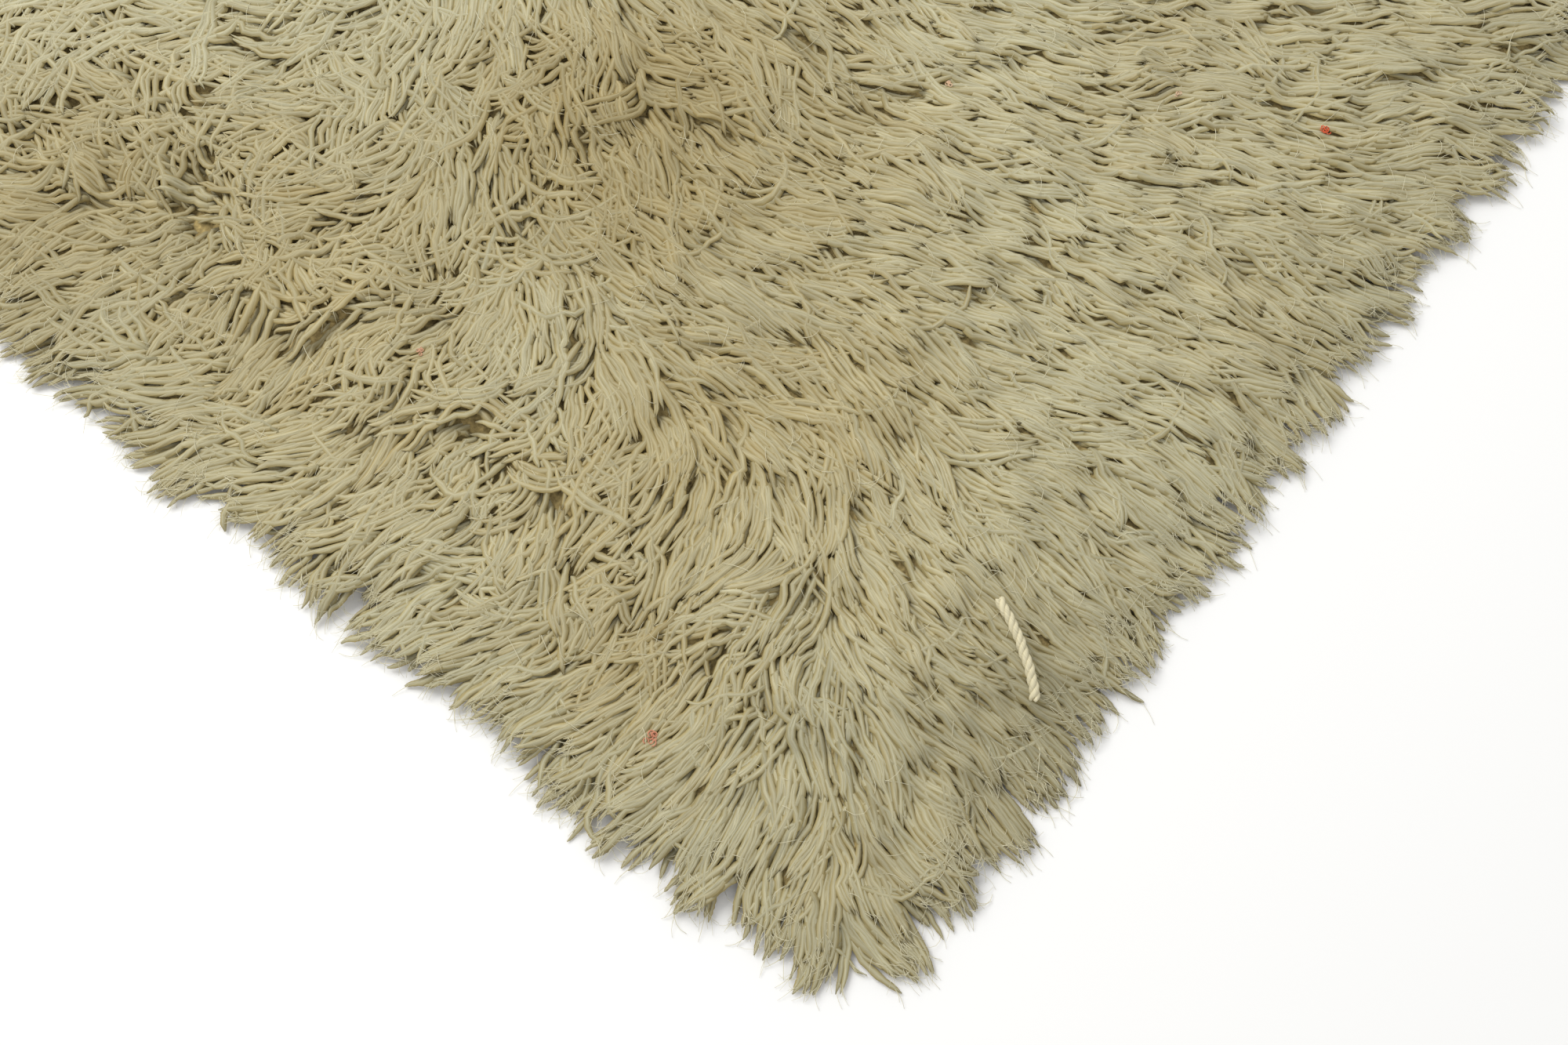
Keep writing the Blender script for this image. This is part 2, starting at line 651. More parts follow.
def lay_down(yarns, field):
    """Give each yarn its heights, laid one at a time over those already there, rim first."""
    heights = field.heights
    path = yarns.path
    ahead = np.gradient(path, axis=1)
    ahead /= np.linalg.norm(ahead, axis=2, keepdims=True) + 1e-9
    side = np.stack([-ahead[:, :, 1], ahead[:, :, 0]], axis=-1)
    offset = side * (FLANK_PLACE * yarns.radius)[:, None, None]
    middle_cells = field.cells(path[:, :, 0], path[:, :, 1])
    left_cells = field.cells(path[:, :, 0] + offset[:, :, 0], path[:, :, 1] + offset[:, :, 1])
    right_cells = field.cells(path[:, :, 0] - offset[:, :, 0], path[:, :, 1] - offset[:, :, 1])
    index = np.arange(PATH_STEPS + 1)
    apart = np.abs(index[:, None] - index[None, :])
    share = index / PATH_STEPS
    result = np.zeros(path.shape[:2])
    for yarn in np.argsort(yarns.order):
        radius = yarns.radius[yarn]
        step = yarns.length[yarn] / PATH_STEPS
        first = int(min(max(yarns.rise[yarn] / step, 2), PATH_STEPS - 6))
        middle = middle_cells[yarn]
        left = left_cells[yarn]
        right = right_cells[yarn]
        under = np.maximum(heights[middle], 0.5 * (heights[left] + heights[right]))
        under = np.maximum(under - LAY_SQUASH, 0.0)
        line = (under[None, first:] - LAY_SLOPE * step * apart[first:, first:]).max(axis=1)
        smooth_along(line, 3)
        line = np.maximum(line, under[first:] - 0.0008) + radius
        line += yarns.lift[yarn] * np.sin(math.pi * np.clip((share[first:] - 0.35) / 0.75, 0, 1))
        up = share[:first + 1] / share[first]
        root = WEAVE_TOP - 0.0005
        result[yarn, :first + 1] = root + (line[0] - root) * np.sin(up * math.pi / 2) ** 0.9
        result[yarn, first:] = line
        top = line + CROWN_RISE * radius
        reached = middle[first:]
        heights[reached] = np.maximum(heights[reached], top)
        top = line + FLANK_RISE * radius
        reached = left[first:]
        heights[reached] = np.maximum(heights[reached], top)
        reached = right[first:]
        heights[reached] = np.maximum(heights[reached], top)
    return result


def fill_holes(yarns, field):
    """Copies of yarns beside each hole in the pile's top, bent sideways to run across it."""
    rng = np.random.default_rng(SEED + 17)
    share = np.linspace(0, 1, PATH_STEPS + 1)
    bend = smooth_step(share, 0.05, 0.50)
    depth = (field.blurred(0.010) - field.heights).reshape(field.columns, field.rows)
    column, row = np.nonzero(depth > HOLE_DEPTH)
    keep = outside_weave(field.x[column], field.y[row]) < HOLE_RIM_REACH
    keep &= in_photo(field.x[column], field.y[row]) | (depth[column, row] > FAR_HOLE_DEPTH)
    column = column[keep]
    row = row[keep]
    deepest = np.argsort(-depth[column, row], kind="stable")
    taken = np.zeros(depth.shape, bool)
    tree = KDTree(yarns.x.size * HOLE_SAMPLES)
    samples = np.linspace(0.45, 0.95, HOLE_SAMPLES)
    steps = (samples * PATH_STEPS).astype(int)
    for yarn in range(yarns.x.size):
        for number, step in enumerate(steps):
            place = yarns.path[yarn, step]
            tree.insert((place[0], place[1], 0.0), yarn * HOLE_SAMPLES + number)
    tree.balance()
    sources = []
    paths = []
    apart = int(HOLE_SPACING / CELL)
    for across, along in zip(column[deepest], row[deepest]):
        if taken[across, along]:
            continue
        taken[max(across - apart, 0):across + apart + 1, max(along - apart, 0):along + apart + 1] = True
        found = tree.find((field.x[across], field.y[along], 0.0))
        yarn, number = divmod(found[1], HOLE_SAMPLES)
        if found[2] > HOLE_YARN_REACH:
            continue
        offset = np.array([field.x[across], field.y[along]]) - yarns.path[yarn, steps[number]]
        sources.append(yarn)
        paths.append(yarns.path[yarn] + bend[:, None] * offset[None, :])
    sources = np.array(sources)
    extra = YarnPart(yarns, sources)
    extra.path = np.array(paths)
    extra.shade = rng.normal(0.0, 1.0, sources.size)
    extra.lift = np.zeros(sources.size)
    return extra


def drop_hidden(yarns, heights, field):
    """Leave out yarns buried by others, and note where each of the rest comes into sight."""
    grid = field.heights.reshape(field.columns, field.rows)
    lowest = grid.copy()
    for axis in (0, 1):
        for shift in (-1, 1):
            lowest = np.minimum(lowest, np.roll(grid, shift, axis=axis))
    cells = field.cells(yarns.path[:, :, 0], yarns.path[:, :, 1])
    in_sight = heights + yarns.radius[:, None] > lowest.ravel()[cells] - 0.0010
    kept = in_sight.sum(axis=1) > np.where(yarns.seen, 3, 4)
    yarns.start = np.maximum(in_sight.argmax(axis=1) - 2, 0) / PATH_STEPS
    yarns.start = np.minimum(yarns.start, 0.75)
    yarns.take(kept)
    return heights[kept]


def settle(yarns, heights, field, solid_top):
    """Press the laid pile down, or loft it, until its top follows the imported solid's."""
    lofted = field.blurred(SETTLE_REACH)
    share = HeightField()
    share.heights = np.maximum(solid_top.blurred(0.010), 0.004) / np.maximum(lofted, 0.004)
    share.heights = np.clip(share.heights, 0.30, 1.6)
    scale = share.blurred(SETTLE_REACH)
    skin = field.blurred(SKIN_REACH)
    cells = field.cells(yarns.path[:, :, 0], yarns.path[:, :, 1])
    above_root = smooth_step(np.linspace(0, 1, PATH_STEPS + 1), 0.0, 0.3)
    squash = smooth_step(yarns.tousle, 0.2, 0.9)[:, None]
    squash = SKIN_SQUASH + (TOUSLED_SKIN_SQUASH - SKIN_SQUASH) * squash
    eased = heights + above_root * felted(skin[cells] - heights, squash)
    field.heights = field.heights + felted(skin - field.heights, SKIN_SQUASH)
    field.heights = np.minimum(field.heights * scale, SETTLE_CAP + 0.002)
    return np.minimum(eased * scale[cells], SETTLE_CAP)


def felted(below, squash):
    """How far up a point moves that lies below the pile's skin, so that the relief there is shallow."""
    return np.clip(below, -SKIN_DEPTH, SKIN_DEPTH) * (1 - squash)


# Tube meshes

def ring_turns(sides):
    """The angle of each point of a ring, the first one on top."""
    return math.pi / 2 + math.tau * np.arange(sides) / sides


def tube_points(path, radius, sides, width, depth):
    """Rings of points round each path: path is yarns x rings x 3, radius is yarns x rings."""
    ahead = np.gradient(path, axis=1)
    ahead /= np.linalg.norm(ahead, axis=2, keepdims=True) + 1e-12
    side = np.stack([-ahead[..., 1], ahead[..., 0], np.zeros(path.shape[:2])], axis=-1)
    side /= np.linalg.norm(side, axis=2, keepdims=True) + 1e-12
    over = np.cross(ahead, side)
    turn = ring_turns(sides)
    ring = side[:, :, None, :] * (width * np.cos(turn))[None, None, :, None]
    ring = ring + over[:, :, None, :] * (depth * np.sin(turn))[None, None, :, None]
    return path[:, :, None, :] + ring * radius[:, :, None, None]


def tube_faces(count, rings, sides):
    """Corner numbers of the walls, four to a face, and of the two end caps."""
    first = (np.arange(count) * rings * sides)[:, None, None]
    ring = (np.arange(rings - 1) * sides)[None, :, None]
    here = np.arange(sides)[None, None, :]
    after = (here + 1) % sides
    walls = np.stack([
        first + ring + here,
        first + ring + after,
        first + ring + sides + after,
        first + ring + sides + here,
    ], axis=-1)
    base = np.arange(count)[:, None] * rings * sides
    start = base + np.arange(sides)[::-1][None, :]
    end = base + (rings - 1) * sides + np.arange(sides)[None, :]
    return walls.reshape(-1, 4), np.stack([start, end], axis=1).reshape(-1, sides)


def tube_uvs(count, rings, sides, run, bake):
    """Texture places for each corner. run gives the distance along each path at each ring.

    For baking, each tube has a cell of its own with its caps beside it. For the yarn's fibres, one
    turn round the tube is 1 across and 10 mm along it is 1 up.
    """
    here = np.arange(sides)
    wall_u = np.stack([here, here + 1, here + 1, here], axis=-1) / sides
    wall_u = np.broadcast_to(wall_u, (count, rings - 1, sides, 4))
    turn = math.tau * here / sides
    cap_u = np.stack([np.cos(turn[::-1]), np.cos(turn)])
    cap_v = np.stack([np.sin(turn[::-1]), np.sin(turn)])
    if bake:
        level = np.linspace(0.14, 0.86, rings)
        level = np.broadcast_to(level, (count, rings))
        cap_u = np.broadcast_to(0.5 + 0.05 * cap_u, (count, 2, sides))
        cap_v = np.broadcast_to(np.array([0.07, 0.93])[:, None] + 0.05 * cap_v, (count, 2, sides))
    else:
        level = run / 0.010
        cap_u = np.broadcast_to(0.5 + 0.3 * cap_u, (count, 2, sides))
        cap_v = level[:, [0, -1], None] + 0.3 * cap_v[None]
    wall_v = np.stack([level[:, :-1], level[:, :-1], level[:, 1:], level[:, 1:]], axis=-1)
    wall_v = np.broadcast_to(wall_v[:, :, None, :], (count, rings - 1, sides, 4))
    if bake:
        cells = math.ceil(math.sqrt(count))
        column = np.arange(count) % cells
        row = np.arange(count) // cells
        wall_u = (column[:, None, None, None] + 0.06 + 0.88 * wall_u) / cells
        wall_v = (row[:, None, None, None] + wall_v) / cells
        cap_u = (column[:, None, None] + cap_u) / cells
        cap_v = (row[:, None, None] + cap_v) / cells
    walls = np.stack([wall_u, wall_v], axis=-1).reshape(-1, 2)
    caps = np.stack([cap_u, cap_v], axis=-1).reshape(-1, 2)
    return np.concatenate([walls, caps])


def keep_undersides_apart(mesh, sides):
    """Make the lengthwise edges below each yarn's crown sharp, so that only its upper faces blend."""
    ends = np.empty(2 * len(mesh.edges), dtype=np.int32)
    mesh.edges.foreach_get("vertices", ends)
    ends = ends.reshape(-1, 2)
    lengthwise = np.abs(ends[:, 0] - ends[:, 1]) == sides
    sharp = lengthwise & (ends[:, 0] % sides != 0)
    mesh.edges.foreach_set("use_edge_sharp", sharp)


def make_tubes(name, path, radius, sides, tint, material, width=1.0, depth=1.0, side_shade=(0, 0, 0)):
    """One mesh of many closed tubes. tint gives each ring's colour, and side_shade darkens its flanks."""
    count, rings = path.shape[:2]
    points = tube_points(path, radius, sides, width, depth)
    walls, caps = tube_faces(count, rings, sides)
    corners = np.concatenate([walls.ravel(), caps.ravel()])
    sizes = np.concatenate([np.full(len(walls), 4), np.full(len(caps), sides)])
    starts = np.concatenate([[0], np.cumsum(sizes)[:-1]])
    mesh = bpy.data.meshes.new(name)
    mesh.vertices.add(count * rings * sides)
    mesh.vertices.foreach_set("co", points.astype(np.float32).ravel())
    mesh.loops.add(len(corners))
    mesh.loops.foreach_set("vertex_index", corners.astype(np.int32))
    mesh.polygons.add(len(sizes))
    mesh.polygons.foreach_set("loop_start", starts.astype(np.int32))
    mesh.polygons.foreach_set("use_smooth", np.ones(len(sizes), dtype=bool))
    run = np.linalg.norm(np.diff(path, axis=1), axis=2).cumsum(axis=1)
    run = np.concatenate([np.zeros((count, 1)), run], axis=1)
    run = run + np.random.default_rng(SEED + count).uniform(0.0, 0.5, (count, 1))
    for layer_name, bake in (("OFBake", True), ("YarnUV", False)):
        layer = mesh.uv_layers.new(name=layer_name)
        layer.uv.foreach_set("vector", tube_uvs(count, rings, sides, run, bake).astype(np.float32).ravel())
    colours = np.ones((count, rings, sides, 4), dtype=np.float32)
    flank = np.clip(1 - np.sin(ring_turns(sides)), 0.0, 1.0)
    shade = 1 - flank[:, None] * np.array(side_shade)[None, :]
    colours[..., :3] = tint[:, :, None, :] * shade[None, None]
    attribute = mesh.color_attributes.new("Tint", "FLOAT_COLOR", "POINT")
    attribute.data.foreach_set("color", colours.ravel())
    mesh.materials.append(material)
    mesh.update(calc_edges=True)
    if sides < 5:
        keep_undersides_apart(mesh, sides)
    return add_piece(name, mesh)


def add_piece(name, mesh):
    """A piece of the rug, with its mesh, on the rug's one body."""
    piece = bpy.data.objects.new(name, mesh)
    bpy.context.scene.collection.objects.link(piece)
    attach(piece, "root")
    return piece


# Materials

def new_material(name):
    material = bpy.data.materials.new(name)
    material.use_nodes = True
    tree = material.node_tree
    return material, tree, tree.nodes["Principled BSDF"]


def add_node(tree, kind, **values):
    node = tree.nodes.new(kind)
    for key, value in values.items():
        setattr(node, key, value)
    return node


def scaled_colour(tree, colour, factor_socket, low, high, start=0.0, end=1.0):
    """colour times a factor that runs from low to high as factor_socket runs from start to end."""
    spread = add_node(tree, "ShaderNodeMapRange")
    spread.inputs["From Min"].default_value = start
    spread.inputs["From Max"].default_value = end
    spread.inputs["To Min"].default_value = low
    spread.inputs["To Max"].default_value = high
    tree.links.new(factor_socket, spread.inputs["Value"])
    scale = add_node(tree, "ShaderNodeVectorMath", operation="SCALE")
    tree.links.new(colour, scale.inputs[0])
    tree.links.new(spread.outputs["Result"], scale.inputs["Scale"])
    return scale.outputs["Vector"]


def add_bump(tree, shader, height_socket, strength, distance):
    bump = add_node(tree, "ShaderNodeBump")
    bump.inputs["Strength"].default_value = strength
    bump.inputs["Distance"].default_value = distance
    tree.links.new(height_socket, bump.inputs["Height"])
    tree.links.new(bump.outputs["Normal"], shader.inputs["Normal"])


def yarn_material(name, twist):
    """Loosely spun wool: its colour from the Tint attribute, with fibres that wind round the yarn."""
    material, tree, shader = new_material(name)
    tint = add_node(tree, "ShaderNodeAttribute", attribute_name="Tint")
    places = add_node(tree, "ShaderNodeUVMap", uv_map="YarnUV")
    parts = add_node(tree, "ShaderNodeSeparateXYZ")
    tree.links.new(places.outputs["UV"], parts.inputs["Vector"])
    slant = add_node(tree, "ShaderNodeMath", operation="MULTIPLY_ADD")
    slant.inputs[1].default_value = twist
    tree.links.new(parts.outputs["Y"], slant.inputs[0])
    tree.links.new(parts.outputs["X"], slant.inputs[2])
    turn = add_node(tree, "ShaderNodeMath", operation="MULTIPLY")
    turn.inputs[1].default_value = math.tau
    tree.links.new(slant.outputs["Value"], turn.inputs[0])
    ring = add_node(tree, "ShaderNodeCombineXYZ")
    for axis, operation in (("X", "COSINE"), ("Y", "SINE")):
        wave = add_node(tree, "ShaderNodeMath", operation=operation)
        tree.links.new(turn.outputs["Value"], wave.inputs[0])
        tree.links.new(wave.outputs["Value"], ring.inputs[axis])
    along = add_node(tree, "ShaderNodeMath", operation="MULTIPLY")
    along.inputs[1].default_value = 0.35
    tree.links.new(parts.outputs["Y"], along.inputs[0])
    tree.links.new(along.outputs["Value"], ring.inputs["Z"])
    fibres = add_node(tree, "ShaderNodeTexNoise")
    fibres.inputs["Scale"].default_value = 1.7
    fibres.inputs["Detail"].default_value = 2.0
    fibres.inputs["Roughness"].default_value = 0.5
    tree.links.new(ring.outputs["Vector"], fibres.inputs["Vector"])
    colour = scaled_colour(tree, tint.outputs["Color"], fibres.outputs["Fac"], 0.86, 1.10, 0.28, 0.70)
    tree.links.new(colour, shader.inputs["Base Color"])
    add_bump(tree, shader, fibres.outputs["Fac"], 0.45, 0.0010)
    shader.inputs["Roughness"].default_value = 0.82
    shader.inputs["Specular IOR Level"].default_value = 0.10
    shader.inputs["Sheen Weight"].default_value = 0.06
    shader.inputs["Sheen Roughness"].default_value = 0.45
    shader.inputs["Sheen Tint"].default_value = (1.0, 0.96, 0.86, 1.0)
    return material


def fibre_material():
    """Single fibres, too fine for any pattern of their own."""
    if "loose_fibre" in bpy.data.materials:
        return bpy.data.materials["loose_fibre"]
    material, tree, shader = new_material("loose_fibre")
    tint = add_node(tree, "ShaderNodeAttribute", attribute_name="Tint")
    tree.links.new(tint.outputs["Color"], shader.inputs["Base Color"])
    shader.inputs["Roughness"].default_value = 0.7
    shader.inputs["Specular IOR Level"].default_value = 0.2
    return material


# The wool's colours

CREAM = linear(195, 191, 162)
STRAW = linear(185, 172, 132)
GREY = linear(174, 170, 142)

# Where the wool is warmer, greyer or dimmer than the rest
TONE_SPOTS = (
    # photo x, photo y, radius, warm, grey, dim
    (430, 330, 0.16, 0.9, 0.0, 0.00),
    (800, 130, 0.14, 1.0, 0.0, 0.14),
    (150, 250, 0.14, 0.8, 0.0, 0.16),
    (900, 500, 0.14, 0.7, 0.0, 0.00),
    (850, 800, 0.09, 0.6, 0.0, 0.00),
    (1360, 950, 0.08, 0.0, 1.0, 0.24),
    (1600, 640, 0.07, 0.0, 0.6, 0.00),
    (1850, 330, 0.07, 0.0, 0.6, 0.00),
)
RIM_GREY_DEPTH = 0.075
UNDERCOAT_STEP = 0.0084
UNDERCOAT_SINK = 0.0048
UNDERCOAT_TOUSLED_SINK = 0.0030
UNDERCOAT_REACH = 0.012
UNDERCOAT_COLOUR = linear(172, 152, 102)


def wool_tone(x, y):
    """Shares of straw and of grey in the wool's colour at each place, and how bright it is."""
    warm = np.full_like(x, 0.15)
    grey = 0.75 * smooth_step(outside_weave(x, y), -RIM_GREY_DEPTH, 0.03)
    bright = np.ones_like(x)
    for photo_x, photo_y, radius, warmth, greyness, dimness in TONE_SPOTS:
        spot_x, spot_y = on_rug(photo_x, photo_y)
        near = np.exp(-((x - spot_x) ** 2 + (y - spot_y) ** 2) / radius**2)
        warm = np.maximum(warm, warmth * near)
        grey = np.maximum(grey, greyness * near)
        bright = bright * (1 - dimness * near)
    warm = warm + 0.18 * soft_noise(x, y, 0.09, SEED + 7)
    return np.clip(warm, 0, 1), np.clip(grey, 0, 1), bright


def yarn_tints(yarns, shares):
    """A colour for each ring of each yarn."""
    warm, grey, bright = wool_tone(yarns.x, yarns.y)
    warm = np.clip(warm + 0.10 * yarns.warmth, 0, 1)[:, None]
    colour = CREAM * (1 - warm) + STRAW * warm
    colour = colour * (1 - 0.6 * grey[:, None]) + GREY * 0.6 * grey[:, None]
    colour = colour * (bright * (1 + 0.05 * np.clip(yarns.shade, -2.2, 1.6)))[:, None]
    depth = smooth_step(shares, 0.0, 0.45)
    light = 0.70 + 0.30 * depth + 0.02 * smooth_step(shares, 0.8, 1.0)
    yellowing = np.stack([np.ones_like(depth), 1 - 0.04 * (1 - depth), 1 - 0.16 * (1 - depth)], axis=-1)
    return colour[:, None, :] * light[:, :, None] * yellowing


def yarn_thickness(yarns, shares, rng):
    """Each ring's radius: slubs along the yarn, and a soft taper at its cut end."""
    taper = np.clip((1.0 - shares) / (TIP_TAPER * yarns.tip[:, None]), 0.0, 1.0)
    blunt = TIP_RADIUS / yarns.tip[:, None]
    taper = blunt + (1 - blunt) * np.sqrt(taper)
    taper = taper * (0.80 + 0.20 * smooth_step(shares, 0.0, 0.15))
    slubs = 1 + 0.09 * rng.normal(0.0, 1.0, shares.shape).clip(-2, 2)
    return yarns.radius[:, None] * taper * slubs


def ring_places(yarns, rings):
    """Shares of each yarn's length for its rings: one at the root, the rest where it is in sight."""
    start = np.maximum(yarns.start, 0.06)[:, None]
    rest = start + (1 - start) * np.linspace(0, 1, rings - 1)[None, :]
    return np.concatenate([np.zeros((yarns.x.size, 1)), rest], axis=1)


def dress_pile(yarns, heights):
    """The yarns as meshes, finest where the photograph sees them."""
    material = yarn_material("pile_yarn", YARN_TWIST)
    full = np.concatenate([yarns.path, heights[:, :, None]], axis=2)
    rng = np.random.default_rng(SEED + 9)
    for label, chosen, rings, sides in (
        ("near", yarns.seen, SEEN_RINGS, SEEN_SIDES),
        ("far", ~yarns.seen, FAR_RINGS, FAR_SIDES),
    ):
        numbers = np.flatnonzero(chosen)
        numbers = numbers[np.argsort(yarns.y[numbers], kind="stable")]
        limit = TRIANGLES_PER_PIECE // (2 * sides * (rings - 1) + 2 * (sides - 2))
        batches = math.ceil(len(numbers) / limit)
        for batch, members in enumerate(np.array_split(numbers, batches)):
            part = YarnPart(yarns, members)
            shares = ring_places(part, rings)
            path = resample(full[members], shares)
            radius = yarn_thickness(part, shares, rng)
            path[:, :, 2] = np.maximum(path[:, :, 2], YARN_DEPTH * radius)
            piece = make_tubes(f"pile_{label}_{batch + 1}", path, radius, sides, yarn_tints(part, shares),
                               material, YARN_WIDTH, YARN_DEPTH, YARN_SIDE_SHADE)
            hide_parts("pile")


def make_undercoat(field):
    """The dense wool deep between the yarns, as one soft sheet of lumps under their tops."""
    skin = field.blurred(SKIN_REACH)
    step = UNDERCOAT_STEP
    columns = int((PILE_HIGH.x - PILE_LOW.x) / step)
    rows = int((PILE_HIGH.y - PILE_LOW.y) / step)
    x = PILE_LOW.x + (PILE_HIGH.x - PILE_LOW.x) * np.arange(columns + 1) / columns
    y = PILE_LOW.y + (PILE_HIGH.y - PILE_LOW.y) * np.arange(rows + 1) / rows
    x, y = np.meshgrid(x, y, indexing="ij")
    rng = np.random.default_rng(SEED + 13)
    x = x + rng.uniform(-0.3, 0.3, x.shape) * step
    y = y + rng.uniform(-0.3, 0.3, y.shape) * step
    sink = UNDERCOAT_SINK + UNDERCOAT_TOUSLED_SINK * tousled(x, y)
    top = skin[field.cells(x, y)] - sink + rng.uniform(-0.0006, 0.0006, x.shape)
    outside = outside_weave(x, y)
    top = np.where(outside > 0.0, np.minimum(top, 0.010 - 0.4 * outside), top)
    bare = np.full(x.shape, False)
    for photo_x, photo_y, radius in BARE_SPOTS:
        spot_x, spot_y = on_rug(photo_x, photo_y, WEAVE_TOP)
        bare |= np.hypot(x - spot_x, y - spot_y) < 1.3 * radius
    solid = (outside < UNDERCOAT_REACH) & (top > 0.0035) & ~bare
    number = np.arange(x.size).reshape(x.shape)
    whole = solid[:-1, :-1] & solid[1:, :-1] & solid[1:, 1:] & solid[:-1, 1:]
    corners = np.stack([number[:-1, :-1], number[1:, :-1], number[1:, 1:], number[:-1, 1:]], axis=-1)
    faces = corners[whole]
    used, faces = np.unique(faces, return_inverse=True)
    points = np.stack([x.ravel(), y.ravel(), top.ravel()], axis=-1)[used]
    mesh = bpy.data.meshes.new("pile_undercoat")
    mesh.from_pydata(points.tolist(), [], faces.reshape(-1, 4).tolist())
    mesh.shade_smooth()
    mesh.materials.append(undercoat_material())
    piece = add_piece("pile_undercoat", mesh)
    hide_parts("pile")


def undercoat_material():
    """Wool in the shade between the yarns."""
    material, tree, shader = new_material("pile_undercoat")
    places = add_node(tree, "ShaderNodeTexCoord")
    mottle = add_node(tree, "ShaderNodeTexNoise")
    mottle.inputs["Scale"].default_value = 260.0
    mottle.inputs["Detail"].default_value = 2.0
    tree.links.new(places.outputs["Object"], mottle.inputs["Vector"])
    base = add_node(tree, "ShaderNodeRGB")
    base.outputs["Color"].default_value = (*UNDERCOAT_COLOUR, 1.0)
    colour = scaled_colour(tree, base.outputs["Color"], mottle.outputs["Fac"], 0.55, 1.25, 0.3, 0.7)
    tree.links.new(colour, shader.inputs["Base Color"])
    add_bump(tree, shader, mottle.outputs["Fac"], 0.8, 0.003)
    shader.inputs["Roughness"].default_value = 0.95
    shader.inputs["Specular IOR Level"].default_value = 0.1
    return material


class YarnPart:
    """Some of the yarns, by number."""

    def __init__(self, yarns, members):
        for name, value in vars(yarns).items():
            setattr(self, name, value[members])


# Ground weave

WEFT_PITCH = 0.0016
WARP_PITCH = 0.0042
WEAVE_COLOUR = linear(178, 162, 118)


def weave_point(across, along):
    """A point of the square from -1 to 1 on the ground weave's rounded, slightly wavering outline."""
    radius = CORNER_RADIUS
    x = across * HALF_X
    y = along * HALF_Y
    over_x = np.clip((np.abs(x) - (HALF_X - radius)) / radius, 0.0, 1.0)
    over_y = np.clip((np.abs(y) - (HALF_Y - radius)) / radius, 0.0, 1.0)
    corner = (over_x > 0) & (over_y > 0)
    round_x = np.sign(x) * (HALF_X - radius + radius * over_x * np.sqrt(1 - over_y**2 / 2))
    round_y = np.sign(y) * (HALF_Y - radius + radius * over_y * np.sqrt(1 - over_x**2 / 2))
    x = np.where(corner, round_x, x)
    y = np.where(corner, round_y, y)
    turn = math.tau / WAVER_PERIOD
    x = x + across * EDGE_WAVER * np.sin(turn * y + 0.8 + across)
    y = y + along * EDGE_WAVER * np.sin(turn * x + 2.1 + along)
    return x, y


def weave_material():
    """Weft-faced wool: ribs across the rug, each broken into the beads that pass over the warps."""
    material, tree, shader = new_material("ground_weave_wool")
    places = add_node(tree, "ShaderNodeTexCoord")
    parts = add_node(tree, "ShaderNodeSeparateXYZ")
    tree.links.new(places.outputs["Object"], parts.inputs["Vector"])
    waves = []
    for axis, pitch in (("Y", WEFT_PITCH), ("X", WARP_PITCH)):
        turn = add_node(tree, "ShaderNodeMath", operation="MULTIPLY")
        turn.inputs[1].default_value = math.pi / pitch
        tree.links.new(parts.outputs[axis], turn.inputs[0])
        wave = add_node(tree, "ShaderNodeMath", operation="SINE")
        tree.links.new(turn.outputs["Value"], wave.inputs[0])
        rib = add_node(tree, "ShaderNodeMath", operation="ABSOLUTE")
        tree.links.new(wave.outputs["Value"], rib.inputs[0])
        waves.append(rib)
    relief = add_node(tree, "ShaderNodeMath", operation="MULTIPLY_ADD")
    relief.inputs[1].default_value = 0.45
    tree.links.new(waves[1].outputs["Value"], relief.inputs[0])
    tree.links.new(waves[0].outputs["Value"], relief.inputs[2])
    mottle = add_node(tree, "ShaderNodeTexNoise")
    mottle.inputs["Scale"].default_value = 900.0
    mottle.inputs["Detail"].default_value = 2.0
    tree.links.new(places.outputs["Object"], mottle.inputs["Vector"])
    base = add_node(tree, "ShaderNodeRGB")
    base.outputs["Color"].default_value = (*WEAVE_COLOUR, 1.0)
    colour = scaled_colour(tree, base.outputs["Color"], waves[0].outputs["Value"], 0.62, 1.08)
    colour = scaled_colour(tree, colour, mottle.outputs["Fac"], 0.75, 1.20)
    tree.links.new(colour, shader.inputs["Base Color"])
    add_bump(tree, shader, relief.outputs["Value"], 0.9, 0.0006)
    shader.inputs["Roughness"].default_value = 0.9
    shader.inputs["Specular IOR Level"].default_value = 0.15
    return material


def make_weave():
    """The ground weave, a closed thin sheet whose faces undulate a little over its knot rows."""
    columns = 64
    rows = 96
    across, along = np.meshgrid(
        2 * np.arange(columns + 1) / columns - 1,
        2 * np.arange(rows + 1) / rows - 1,
        indexing="ij",
    )
    x, y = weave_point(across, along)
    dip = 0.00025 * (1 + soft_noise(x, y, 0.030, SEED + 21))
    top = np.stack([x, y, WEAVE_TOP - dip], axis=-1).reshape(-1, 3)
    under = np.stack([x, y, WEAVE_LOW.z + 0.0002 + dip], axis=-1).reshape(-1, 3)
    number = np.arange(x.size).reshape(x.shape)
    upper = np.stack([number[:-1, :-1], number[1:, :-1], number[1:, 1:], number[:-1, 1:]], axis=-1)
    upper = upper.reshape(-1, 4)
    lower = upper[:, ::-1] + x.size
    edge = np.concatenate([number[:, 0], number[-1, 1:], number[-2::-1, -1], number[0, -2:0:-1]])
    after = np.roll(edge, -1)
    sides = np.stack([edge, edge + x.size, after + x.size, after], axis=-1)[:, ::-1]
    mesh = bpy.data.meshes.new("woven_ground")
    points = np.concatenate([top, under])
    mesh.from_pydata(points.tolist(), [], np.concatenate([upper, lower, sides]).tolist())
    mesh.materials.append(weave_material())
    piece = add_piece("woven_ground", mesh)
    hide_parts("ground_weave")


# Plied tuft, from its start to its cut end

